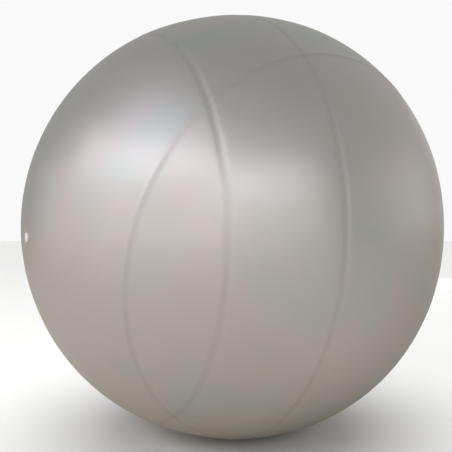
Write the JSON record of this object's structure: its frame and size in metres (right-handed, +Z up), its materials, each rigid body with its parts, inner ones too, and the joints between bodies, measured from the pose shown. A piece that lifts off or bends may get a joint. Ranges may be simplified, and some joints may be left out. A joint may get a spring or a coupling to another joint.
{
  "type": "exercise ball",
  "caption": "Inflated exercise ball: a hollow soft skin with moulded grooves, a valve collar in a dimple, and a white stopper that pulls straight out.",
  "frame": {"origin": "centre of the flat that the ball makes on the floor", "axes": "+Z up; X along the common axis of the parallel grooves, with the valve facing -X and 2.5 degrees below level; -Y toward the side that the crossing groove circles"},
  "size_m": [0.6506, 0.6498, 0.6477],
  "materials": {
    "skin": "satin",
    "collar": "satin",
    "stopper": "satin"
  },
  "bodies": {
    "ball": {"ball_wall": "skin", "valve_collar": "collar"},
    "stopper": {"valve_plug": "stopper"}
  },
  "joints": [
    {"name": "stopper_pull", "type": "slide", "parent": "ball", "child": "stopper", "axis": [-0.999, 0, -0.0436], "range_m": [0, 0.016]}
  ]
}
